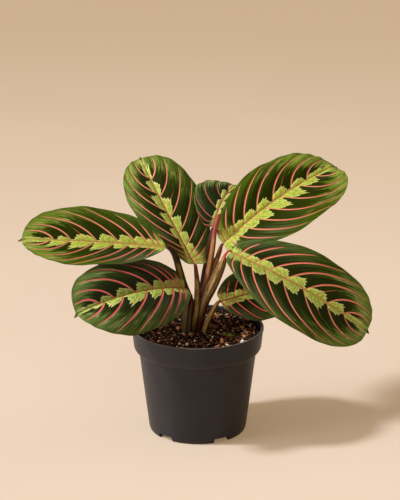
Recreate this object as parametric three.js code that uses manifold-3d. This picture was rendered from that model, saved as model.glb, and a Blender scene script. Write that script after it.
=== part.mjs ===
// Potted prayer plant: seven marked leaves on bent stalks, in potting mix, in a tapered nursery pot.
// Millimetres, +Z up. The origin is the middle of the pot's flat underside, and -Y faces the viewer.
import * as THREE from 'three';
import { mergeVertices } from 'three/addons/utils/BufferGeometryUtils.js';
import Module from 'manifold-3d';

// Pot: a 120 mm nursery pot with a deep rim band, a sloping shoulder and drain slots in its foot.
const POT_HEIGHT = 98;
const RIM_RADIUS = 60;
const RIM_ROUNDING = 0.9;
const BAND_FOOT_RADIUS = 58;
const BAND_FOOT_HEIGHT = 80.5;
const SHOULDER_RADIUS = 53.3;
const SHOULDER_HEIGHT = 75;
const HEEL_RADIUS = 44.5;
const HEEL_HEIGHT = 3;
const BASE_RADIUS = 43.3;
const WALL = 1.6;
const LIP = 2.2;
const FLOOR = 2.2;
const POT_SIDES = 60;

const SLOT_ANGLES = [-42, 30, 102, 174, 246];
const SLOT_WIDTH = 15;
const SLOT_HEIGHT = 2.9;
const SLOT_REACH = 6;

// Potting mix: its level, the height of its swells, its lumps and the mound round the plant's crown, and
// the chips that lie half sunk in it, clear of the crown.
const SOIL_LEVEL = 92.4;
const SOIL_SWELL = 0.5;
const SOIL_LUMP = 0.55;
const SOIL_RINGS = 8;
const SOIL_SIDES = 40;
const CROWN = new THREE.Vector2(-3, 2.6);
const MOUND_HEIGHT = 1.2;
const MOUND_REACH = 18;
const CHIP_COUNT = 44;
const CHIP_SIZES = [1.3, 2.7];
const CHIP_FLATTENING = [1, 0.75, 0.62];
const CHIP_TILT = 0.7;
const CROWN_CLEAR = 15;

// Gap kept between neighbours that touch on the real plant.
const SEAT = 0.3;

// Leaf blade: its thickness, the height of the quilting between two ribs, which fades toward the edge, and
// the slow waves of the edge.
const BLADE = 0.8;
const QUILT = 0.9;
const QUILT_FADE = 1.15;
const QUILT_FULLNESS = 0.7;
const EDGE_WAVE = 1.4;
const EDGE_WAVES = 2.5;

// Outline of a blade in shares of its length and half width: where it is widest, where its body ends, the
// exponents that round it toward the base and toward the tip, and the narrow drip tip.
const WIDEST = 0.54;
const BODY_END = 0.975;
const BASE_ROUNDING = [2.1, 0.62];
const TIP_ROUNDING = [2.6, 0.54];
const DRIP_TIP = { end: 0.012, width: 0.07, length: 0.05, from: 0.5 };

// Ribs: how many lie on each side, how they crowd at the base, how fast they run forward, and the place
// where each bends, as shares of its run forward and out.
const RIB_COUNT = 9.5;
const RIB_CROWDING = 1.5;
const RIB_SWEEP = [4.6, 2.9];
const RIB_BEND = [0.26, 0.66];

// Mesh of a blade: two rows for each rib from just past the base, and columns as shares of the way out.
const BLADE_START = 0.004;
const ROWS = 2 * RIB_COUNT + 1;
const COLUMNS = [0, 0.22, 0.45, 0.68, 0.87, 1];
const MIDRIB_STEPS = 60;

// Each leaf: its base, the heading and rise of its midrib in degrees with the change of each to the tip,
// its length and width, its roll with the twist to the tip, the fold along the midrib, the arch of each
// half, and the share by which the left half is wider than half the width.
const LEAVES = {
  leaf_left: {
    at: [-28.6, 0, 172.9], heading: 182, turn: 2, rise: 7, droop: 6, length: 132, width: 63,
    roll: -36, twist: -3, fold: 20, arch: 26, bias: -0.1,
  },
  leaf_upper_left: {
    at: [-3.1, 8, 154.8], heading: 125, turn: -13, rise: 42, droop: 15, length: 132, width: 70,
    roll: 1, twist: -14, fold: 18, arch: 42, bias: -0.13,
  },
  leaf_back: {
    at: [14.6, 24, 184.8], heading: 61, turn: 12, rise: 66, droop: 108, length: 83, width: 62,
    roll: 10, twist: -4, fold: 8, arch: 20, bias: 0.12,
  },
  leaf_upper_right: {
    at: [23.4, 5, 175.1], heading: 29, turn: 18, rise: 36.5, droop: 33, length: 147, width: 79,
    roll: 40, twist: -22, fold: 14, arch: 14, bias: -0.08,
  },
  leaf_lower_right: {
    at: [30.4, -8, 171], heading: -20, turn: 31, rise: -18.5, droop: 23, length: 147, width: 78,
    roll: 44, twist: 15, fold: 22, arch: 14, bias: -0.12,
  },
  leaf_small_right: {
    at: [20.8, -7, 124.1], heading: 37, turn: 0, rise: 2, droop: 2, length: 93, width: 56,
    roll: 48, twist: 0, fold: 0, arch: 35, bias: 0,
  },
  leaf_lower_left: {
    at: [-11.6, -5, 136.3], heading: 219, turn: -15, rise: 14.5, droop: 35, length: 115, width: 84,
    roll: -36, twist: 3, fold: 24, arch: 57, bias: 0,
  },
};

// Stalks: where each stands in the mix, the points and radii on its way up, and the leaf at its end.
const ROOT_DEPTH = 78;
const STALK_SIDES = 8;
const STALK_STEPS = 15;
const LEAD_IN = 2.6;
const STALKS = {
  stalk_left: {
    leaf: 'leaf_left', root: [-8.3, 2.6], foot: 2.6, end: 1.3,
    way: [[-7.4, 3, 115.4, 2.6], [-9.8, 3, 127.8, 2.5], [-13.4, 2.5, 139.5, 2.4],
      [-16.4, 2, 151, 2.3], [-19, 1.5, 161, 2.1], [-22.3, 0.8, 168.2, 1.6]],
  },
  stalk_upper_left: {
    leaf: 'leaf_upper_left', root: [-5, -1.9], foot: 2.3, end: 1.2,
    way: [[-2.2, -1.5, 116, 2.3], [-1.5, 0, 127.6, 2.2], [-1.5, 2.5, 139.5, 1.9], [-1.6, 4.6, 148.6, 1.5]],
  },
  stalk_back: {
    leaf: 'leaf_back', root: [-2, 11.6], foot: 1.6, end: 1.3,
    way: [[1.2, 12.5, 117.8, 1.5], [3.8, 13.5, 131.9, 1.4], [6.5, 14.8, 147.8, 1.4],
      [8.7, 15.4, 155.2, 1.7], [10.6, 16.6, 164.3, 1.9], [12.1, 19, 173.1, 1.9]],
  },
  stalk_upper_right: {
    leaf: 'leaf_upper_right', root: [2.6, 7.2], foot: 1.9, end: 1.2,
    way: [[5.9, 10, 115.8, 1.9], [9.6, 12.5, 132.3, 1.8], [13.7, 13, 147.4, 1.8],
      [17.3, 10.6, 158, 1.6], [19.9, 6.6, 167.6, 1.5]],
  },
  stalk_lower_right: {
    leaf: 'leaf_lower_right', root: [0.3, 0.6], foot: 2.9, end: 1.3,
    way: [[6.1, 0, 120.8, 3.4], [11.9, -1, 134, 3.7], [17.4, -3, 147.4, 3.5],
      [21.7, -4.8, 158.9, 2.9], [24.3, -6, 167, 1.7]],
  },
  stalk_small_right: {
    leaf: 'leaf_small_right', root: [5.8, -2.8], foot: 2, end: 1.1,
    way: [[8.1, -3.4, 108.2, 2], [11.6, -4.6, 115, 1.9], [15.6, -6.2, 120.4, 1.4]],
  },
  stalk_lower_left: {
    leaf: 'leaf_lower_left', root: [-11, -3.2], foot: 2, end: 1.1,
    way: [[-9.6, -4, 114, 1.9], [-9.2, -4.4, 125.7, 1.7], [-8.8, -4.2, 131.5, 1.4]],
  },
  bare_stalk: {
    root: [-3, 6.4], foot: 2.2, end: 1.7,
    way: [[3.2, 7, 125.2, 2.2], [5.8, 7.4, 133.6, 2.2], [8.6, 7.7, 146.2, 2.2], [11, 7.8, 158.6, 2.2],
      [13.2, 7.8, 171.3, 2.3], [15.2, 8, 184.2, 2.4], [17.2, 8.8, 192.7, 2.3], [19, 9.8, 199.4, 2.2]],
    tip: [19.4, 10.1, 201.2],
  },
  sheath_tip: {
    root: [-7.2, -6], foot: 1.2, end: 0.4,
    way: [[-6.5, -5.2, 108, 1.3], [-5.8, -4.2, 118, 1.1]],
    tip: [-5.8, -3.6, 127.5],
  },
};

const wasm = await Module();
wasm.setup();

// A closed mesh as a solid, with its shared corners merged and its collapsed triangles left out.
function toSolid(geometry) {
  const bare = geometry.clone();
  for (const name of Object.keys(bare.attributes)) {
    if (name !== 'position') bare.deleteAttribute(name);
  }
  const merged = mergeVertices(bare, 1e-4);
  const corners = [];
  for (let i = 0; i < merged.index.count; i += 3) {
    const triangle = [0, 1, 2].map((k) => merged.index.getX(i + k));
    if (new Set(triangle).size === 3) corners.push(...triangle);
  }
  return new wasm.Manifold(new wasm.Mesh({
    numProp: 3,
    vertProperties: new Float32Array(merged.attributes.position.array),
    triVerts: new Uint32Array(corners),
  }));
}

function toGeometry(solid) {
  const { vertProperties, triVerts } = solid.getMesh();
  const geometry = new THREE.BufferGeometry();
  geometry.setAttribute('position', new THREE.BufferAttribute(vertProperties, 3));
  geometry.setIndex(new THREE.BufferAttribute(triVerts, 1));
  geometry.computeVertexNormals();
  return geometry;
}

// A profile of [radius, height] points turned round the upright axis.
function turned(profile, sides) {
  const points = profile.map(([radius, height]) => new THREE.Vector2(radius, height));
  return new THREE.LatheGeometry(points, sides).rotateX(Math.PI / 2);
}

// Even draws from 0 to 1 that are the same on every run.
function seededDraw(seed) {
  let state = seed;
  return () => {
    state = (state * 1664525 + 1013904223) % 4294967296;
    return state / 4294967296;
  };
}

// Inside radius of the pot at a height, a wall's thickness in from the outside.
function insideRadius(height) {
  const heights = [FLOOR, SHOULDER_HEIGHT, BAND_FOOT_HEIGHT, POT_HEIGHT];
  const radii = [BASE_RADIUS, SHOULDER_RADIUS, BAND_FOOT_RADIUS, RIM_RADIUS + WALL - LIP];
  const span = heights.findIndex((limit, i) => i > 0 && height <= limit);
  const share = (height - heights[span - 1]) / (heights[span] - heights[span - 1]);
  return THREE.MathUtils.lerp(radii[span - 1], radii[span], share) - WALL;
}

function potGeometry() {
  const outside = [
    [0, 0], [BASE_RADIUS, 0], [HEEL_RADIUS, HEEL_HEIGHT], [SHOULDER_RADIUS, SHOULDER_HEIGHT],
    [BAND_FOOT_RADIUS, BAND_FOOT_HEIGHT], [RIM_RADIUS, POT_HEIGHT - RIM_ROUNDING],
  ];
  const lip = [[RIM_RADIUS - RIM_ROUNDING, POT_HEIGHT], [RIM_RADIUS - LIP, POT_HEIGHT]];
  const inside = [BAND_FOOT_HEIGHT, SHOULDER_HEIGHT, FLOOR].map((height) => [insideRadius(height), height]);
  const body = toSolid(turned([...outside, ...lip, ...inside, [0, FLOOR]], POT_SIDES));
  const slots = SLOT_ANGLES.map((angle) => {
    const slot = new THREE.BoxGeometry(SLOT_WIDTH, SLOT_REACH * 2, SLOT_HEIGHT * 2);
    return toSolid(slot.translate(0, -HEEL_RADIUS, 0).rotateZ(THREE.MathUtils.degToRad(angle)));
  });
  return toGeometry(slots.reduce((pot, slot) => pot.subtract(slot), body));
}

// Height of the mix's surface: broad swells with lumps on them, drawn up a little round the crown.
function soilHeight(x, y) {
  const swell = Math.sin(x * 0.11 + 1) * Math.cos(y * 0.13);
  const lumps = Math.sin(x * 0.61 + 2 * Math.sin(y * 0.23)) * Math.sin(y * 0.57 + x * 0.19);
  const away = Math.hypot(x - CROWN.x, y - CROWN.y) / MOUND_REACH;
  const mound = Math.exp(-(away ** 2));
  return SOIL_LEVEL + SOIL_SWELL * swell + SOIL_LUMP * lumps + MOUND_HEIGHT * mound;
}

function soilGeometry() {
  const foot = FLOOR + SEAT;
  const edge = insideRadius(SOIL_LEVEL) - SEAT;
  const wall = [foot, SHOULDER_HEIGHT, BAND_FOOT_HEIGHT].map((height) => [insideRadius(height) - SEAT, height]);
  const top = Array.from({ length: SOIL_RINGS + 1 }, (_, i) => [edge * (1 - i / SOIL_RINGS), SOIL_LEVEL]);
  const body = turned([[0, foot], ...wall, ...top], SOIL_SIDES);
  const spots = body.attributes.position;
  for (let i = 0; i < spots.count; i += 1) {
    const [x, y, z] = [spots.getX(i), spots.getY(i), spots.getZ(i)];
    if (z > BAND_FOOT_HEIGHT + 1) spots.setZ(i, soilHeight(x, y));
  }
  let soil = toSolid(body);
  for (const chip of chips(edge)) soil = soil.add(toSolid(chip));
  for (const { root, foot: radius } of Object.values(STALKS)) {
    const depth = POT_HEIGHT - ROOT_DEPTH + 2 * SEAT;
    const hole = new THREE.CylinderGeometry(radius + SEAT, radius + SEAT, depth, STALK_SIDES * 2);
    hole.rotateX(Math.PI / 2).translate(root[0], root[1], ROOT_DEPTH - SEAT + depth / 2);
    soil = soil.subtract(toSolid(hole));
  }
  return toGeometry(soil);
}

// Bark and mineral chips, half sunk in the surface and clear of the crown.
function chips(edge) {
  const draw = seededDraw(7);
  const [least, most] = CHIP_SIZES;
  const made = [];
  while (made.length < CHIP_COUNT) {
    const radius = least + (most - least) * draw() ** 2;
    const reach = (edge - radius - 1) * Math.sqrt(draw());
    const angle = draw() * 2 * Math.PI;
    const [x, y] = [reach * Math.cos(angle), reach * Math.sin(angle)];
    const chip = new THREE.IcosahedronGeometry(radius, 0);
    chip.scale(...CHIP_FLATTENING).rotateX(draw() * CHIP_TILT).rotateZ(draw() * 2 * Math.PI);
    if (Math.hypot(x - CROWN.x, y - CROWN.y) > CROWN_CLEAR) made.push(chip.translate(x, y, soilHeight(x, y)));
  }
  return made;
}

// Half width of a blade as a share of its widest, from base (0) to tip (1), ending in a short drip tip.
function outline(s) {
  const u = Math.min(s / BODY_END, 1);
  const before = u < WIDEST;
  const away = before ? 1 - u / WIDEST : (u - WIDEST) / (1 - WIDEST);
  const [curve, fullness] = before ? BASE_ROUNDING : TIP_ROUNDING;
  const body = (1 - away ** curve) ** fullness;
  const spike = DRIP_TIP.end + DRIP_TIP.width * Math.min((1 - s) / DRIP_TIP.length, 1);
  return Math.hypot(body, s > DRIP_TIP.from ? spike : 0);
}

// A spot of a blade, by the rib it lies on (a, 0 at the base, 1 at the tip) and its share of the way out
// along that rib (t), as a share of the length (s) and of the half width (x). Ribs leave the midrib
// steeply and sweep forward to meet the edge far nearer the tip.
function alongRib(a, t) {
  const start = a ** RIB_CROWDING;
  const end = 1 - (1 - start) ** (RIB_SWEEP[0] - RIB_SWEEP[1] * start);
  const width = outline(end);
  const rib = new THREE.QuadraticBezierCurve(
    new THREE.Vector2(start, 0),
    new THREE.Vector2(THREE.MathUtils.lerp(start, end, RIB_BEND[0]), width * RIB_BEND[1]),
    new THREE.Vector2(end, width),
  );
  return rib.getPoint(t).toArray();
}

// Direction of a leaf's midrib at a share of its length.
function direction(leaf, s) {
  const heading = THREE.MathUtils.degToRad(leaf.heading + leaf.turn * s);
  const rise = THREE.MathUtils.degToRad(leaf.rise - leaf.droop * s);
  const level = Math.cos(rise);
  return new THREE.Vector3(level * Math.cos(heading), level * Math.sin(heading), Math.sin(rise));
}

// The midrib as a row of points, and the frame of the blade at a share of its length.
function midrib(leaf) {
  const steps = MIDRIB_STEPS;
  const spots = [new THREE.Vector3(...leaf.at)];
  for (let i = 0; i < steps; i += 1) {
    const step = direction(leaf, (i + 0.5) / steps).multiplyScalar(leaf.length / steps);
    spots.push(spots[i].clone().add(step));
  }
  return (s) => {
    const i = Math.min(Math.floor(s * steps), steps - 1);
    const ahead = direction(leaf, s);
    const heading = THREE.MathUtils.degToRad(leaf.heading + leaf.turn * s);
    const left = new THREE.Vector3(-Math.sin(heading), Math.cos(heading), 0);
    const up = ahead.clone().cross(left);
    const roll = THREE.MathUtils.degToRad(leaf.roll + leaf.twist * s);
    const across = left.multiplyScalar(Math.cos(roll)).addScaledVector(up, Math.sin(roll));
    return {
      spot: spots[i].clone().lerp(spots[i + 1], s * steps - i),
      across,
      over: ahead.cross(across),
    };
  };
}

// One point of a leaf's skin: side is 1 left of the midrib and -1 right of it, face 1 above and -1 below.
function bladePoint(leaf, frameAt, side, a, t, face) {
  const [s, x] = alongRib(a, t);
  const { spot, across, over } = frameAt(s);
  const half = (leaf.width / 2) * (1 + side * leaf.bias);
  const fold = THREE.MathUtils.degToRad(leaf.fold);
  const bend = THREE.MathUtils.degToRad(leaf.arch) / half;
  const slope = fold - bend * x * half;
  const out = (Math.sin(fold) - Math.sin(slope)) / bend;
  const arched = (Math.cos(slope) - Math.cos(fold)) / bend;
  const between = Math.abs(Math.sin(Math.PI * a * RIB_COUNT));
  const quilt = QUILT * between * Math.sin(Math.PI * Math.min(t * QUILT_FADE, 1)) ** QUILT_FULLNESS;
  const wave = EDGE_WAVE * x ** 3 * Math.sin(2 * Math.PI * EDGE_WAVES * s + side);
  const skin = (face * BLADE) / 2;
  return spot
    .addScaledVector(across, side * (out - skin * Math.sin(slope)))
    .addScaledVector(over, arched + quilt * outline(s) + wave + skin * Math.cos(slope));
}

// A leaf blade: one skin above and one below, split into triangles alike, joined by a rim.
function leafGeometry(leaf) {
  const frameAt = midrib(leaf);
  const across = 2 * (COLUMNS.length - 1);
  const grid = new THREE.PlaneGeometry(1, 1, across, ROWS);
  const count = grid.attributes.position.count;
  const spots = [];
  for (const face of [1, -1]) {
    for (let row = 0; row <= ROWS; row += 1) {
      const a = [BLADE_START, 0.5 / (ROWS - 1)][row] ?? (row - 1) / (ROWS - 1);
      for (let column = 0; column <= across; column += 1) {
        const place = column - across / 2;
        const t = COLUMNS[Math.abs(place)];
        spots.push(...bladePoint(leaf, frameAt, place > 0 ? -1 : 1, a, t, face).toArray());
      }
    }
  }
  const above = Array.from(grid.index.array);
  const corners = [];
  for (let i = 0; i < above.length; i += 3) {
    const [p, q, r] = above.slice(i, i + 3);
    corners.push(p, r, q, p + count, q + count, r + count);
  }
  const loop = rimLoop(across, ROWS);
  loop.forEach((p, i) => {
    const q = loop[(i + 1) % loop.length];
    corners.push(p, q + count, q, p, p + count, q + count);
  });
  const geometry = new THREE.BufferGeometry();
  geometry.setAttribute('position', new THREE.Float32BufferAttribute(spots, 3));
  geometry.setIndex(corners);
  geometry.computeVertexNormals();
  return geometry;
}

// The numbers of a grid's outermost points, in order round it.
function rimLoop(across, rows) {
  const wide = across + 1;
  const loop = [];
  for (let column = 0; column < across; column += 1) loop.push(column);
  for (let row = 0; row < rows; row += 1) loop.push(row * wide + across);
  for (let column = across; column > 0; column -= 1) loop.push(rows * wide + column);
  for (let row = rows; row > 0; row -= 1) loop.push(row * wide);
  return loop;
}

// A stalk: a closed cylinder bent along its way and drawn in to its radii. One that bears a leaf runs
// into the leaf's base in line with the midrib, and stops a seat's gap short of the blade.
function stalkGeometry({ leaf, root, foot, end, way, tip }) {
  const spots = [[...root, ROOT_DEPTH, foot], [...root, SOIL_LEVEL, foot], ...way];
  if (leaf) {
    const base = new THREE.Vector3(...LEAVES[leaf].at);
    const ahead = direction(LEAVES[leaf], 0);
    for (const back of [LEAD_IN, SEAT]) {
      spots.push([...base.clone().addScaledVector(ahead, -back).toArray(), end]);
    }
  } else {
    spots.push([...tip, end]);
  }
  const path = new THREE.CatmullRomCurve3(spots.map(([x, y, z]) => new THREE.Vector3(x, y, z)));
  const radii = spots.map((spot) => spot[3]);
  const steps = Math.max(STALK_STEPS, 2 * spots.length);
  const frames = path.computeFrenetFrames(steps);
  const tube = new THREE.CylinderGeometry(1, 1, 1, STALK_SIDES, steps);
  const points = tube.attributes.position;
  for (let i = 0; i < points.count; i += 1) {
    const row = Math.round((points.getY(i) + 0.5) * steps);
    const along = path.getUtoTmapping(row / steps) * (spots.length - 1);
    const k = Math.min(Math.floor(along), spots.length - 2);
    const radius = THREE.MathUtils.lerp(radii[k], radii[k + 1], along - k);
    const spot = path.getPointAt(row / steps)
      .addScaledVector(frames.normals[row], points.getX(i) * radius)
      .addScaledVector(frames.binormals[row], -points.getZ(i) * radius);
    points.setXYZ(i, spot.x, spot.y, spot.z);
  }
  tube.computeVertexNormals();
  return tube;
}

const finishes = {
  pot: { color: 0x3b3836, roughness: 0.62 },
  mix: { color: 0x2b1d14, roughness: 0.95 },
  blade: { color: 0x3f5a22, roughness: 0.5 },
  stalk: { color: 0x7a5a34, roughness: 0.5 },
};

function piece(name, geometry, finish) {
  const material = new THREE.MeshStandardMaterial({ ...finishes[finish], metalness: 0 });
  const mesh = new THREE.Mesh(geometry, material);
  mesh.name = name;
  return mesh;
}

const plant = new THREE.Group();
plant.add(piece('pot', potGeometry(), 'pot'));
plant.add(piece('potting_mix', soilGeometry(), 'mix'));
for (const [name, stalk] of Object.entries(STALKS)) plant.add(piece(name, stalkGeometry(stalk), 'stalk'));
for (const [name, leaf] of Object.entries(LEAVES)) plant.add(piece(name, leafGeometry(leaf), 'blade'));

export default plant;
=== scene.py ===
import math
import random

import bpy
import numpy as np
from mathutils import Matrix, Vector, noise


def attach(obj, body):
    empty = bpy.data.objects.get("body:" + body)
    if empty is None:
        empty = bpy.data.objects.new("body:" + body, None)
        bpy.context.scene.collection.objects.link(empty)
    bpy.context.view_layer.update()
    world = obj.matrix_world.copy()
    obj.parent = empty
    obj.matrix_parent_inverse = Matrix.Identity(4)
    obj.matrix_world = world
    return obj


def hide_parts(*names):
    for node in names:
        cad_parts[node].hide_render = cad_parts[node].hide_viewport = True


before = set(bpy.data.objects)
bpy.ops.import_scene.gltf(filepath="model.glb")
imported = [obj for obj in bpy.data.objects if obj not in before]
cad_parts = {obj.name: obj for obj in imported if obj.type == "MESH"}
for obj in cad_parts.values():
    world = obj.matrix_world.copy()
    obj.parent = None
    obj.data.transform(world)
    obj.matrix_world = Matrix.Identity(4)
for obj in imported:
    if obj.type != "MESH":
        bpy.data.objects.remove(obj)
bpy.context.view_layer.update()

# A potted prayer plant. Its pieces are measured in millimetres and in shares of a blade, and made in metres.
# The pot's underside lies on z = 0 and -Y faces the viewer.
MM = 0.001
SAME_SPOT = 1e-6
FULL_TURN = 2 * math.pi


def rgb(red, green, blue):
    """A colour as a shader takes it, from one as a picture gives it, 0 to 255."""
    shares = (red / 255, green / 255, blue / 255)
    return tuple(c / 12.92 if c < 0.0415 else ((c + 0.055) / 1.055) ** 2.4 for c in shares)


# Pot. Its outline runs from the middle of the underside round the outside, over the lip and down the inside
# to the floor. Each corner has its radius, its height and its rounding. The drain slots are cut at the
# angles in degrees, counted from the front. A painted highlight lies on the lip between two heights, in metres.
POT_OUTLINE = (
    (0, 4.8, 0), (39.1, 4.8, 0.8), (39.9, 0, 0.4), (43.3, 0, 1.2), (44.5, 3, 3), (53.3, 75, 0.5),
    (53.8, 75.2, 0.3), (56.8, 77.8, 1.3), (58, 80.5, 1.3), (59.5, 95.4, 0.3), (60, 95.8, 0.4), (60, 98, 0.7),
    (57.8, 98, 0.6), (57.4, 96, 1.2), (56.4, 80.5, 2), (51.7, 75, 3), (42.9, 6.6, 1.5), (0, 6.6, 0),
)
ROUNDING_STEPS = 6
POT_SIDES = 144
SLOT_ANGLES = (-42, 30, 102, 174, 246)
SLOT_RADIUS = 44.5
SLOT_SIZE = (15.5, 12, 9)
SLOT_ROUNDING = 1.1
LIP_HIGHLIGHT_BAND = (0.0974, 0.0979)
CHARCOAL = rgb(39, 36, 39)
CLOUDY_CHARCOAL = rgb(47, 44, 47)
DUST = rgb(92, 84, 78)
PAINTED_LIP_HIGHLIGHT = rgb(104, 100, 100)

# Potting mix. Its side is given as radii and heights, a little inside the pot. Its top has slow swells,
# lumps, a mound at the crown and a bank against the far side, each with its height.
MIX_SIDE = ((0, 6.9), (41.7, 6.9), (51.3, 75), (56, 80.5), (56.3, 89.4))
MIX_LEVEL = 92.4
MIX_REACH = 56.9
MIX_EDGE = 56.5
MIX_SIDES = 120
MIX_RINGS = 46
SWELL = 0.5
LUMPS = 1.5
LUMP_SCALE = 0.16
MOUND = 1.6
MOUND_SPREAD = 300
CROWN = (-3.0, 2.6)
BANK = 2.4
BANK_FROM = -10
MIX_TINTS = dict(dark=(0.0010, 0.0005, 0.0004), brown=(0.020, 0.009, 0.005), speck=(0.14, 0.065, 0.028))

# Leaf outline and ribs, as shares of a blade's length and half width.
WIDEST = 0.54
BODY_END = 0.975
BASE_ROUNDING = (2.1, 0.62)
TIP_ROUNDING = (2.6, 0.54)
DRIP_TIP = {"end": 0.012, "width": 0.07, "length": 0.05, "from": 0.5}
RIB_CROWDING = 1.5
RIB_SWEEP = (4.9, 3.4)
RIB_BEND = (0.3, 0.66)
RIB_RUN_IN = (0.01, 0.12)
SHOULDER_RUN = 0.06
MIDRIB_STEPS = 60
BLADE_START = 0.003
RIBS = 8

# Leaf relief in millimetres: the blade's thickness, the swell between two ribs, the furrow of a rib and
# of the midrib, the slow waves of the edge and the small ripple from rib to rib. The rib's furrow is as wide
# as a share of a step between ribs, and the tip curls from a share of the length.
BLADE = 0.5
QUILT = 1.15
QUILT_FADE = 1.08
FURROW = 0.3
FURROW_WIDTH = 0.045
MIDRIB_FURROW = 0.75
MIDRIB_FURROW_WIDTH = 1.3
EDGE_WAVE = 1.4
EDGE_WAVES = 2.5
EDGE_RIPPLE = 0.3
CURL_FROM = 0.93

# Leaf mesh: columns from the midrib to the edge, closer together at the midrib, the share of the way out
# where the rows of both sides have parted, and the rows from one rib to the next.
BLADE_COLUMNS = 42
COLUMN_CROWDING = 1.15
SEAM_BLEND = 0.05
ROWS_BETWEEN_RIBS = np.array([0, 0.03, 0.07, 0.13, 0.22, 0.35, 0.5, 0.65, 0.78, 0.87, 0.93, 0.97])
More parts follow.
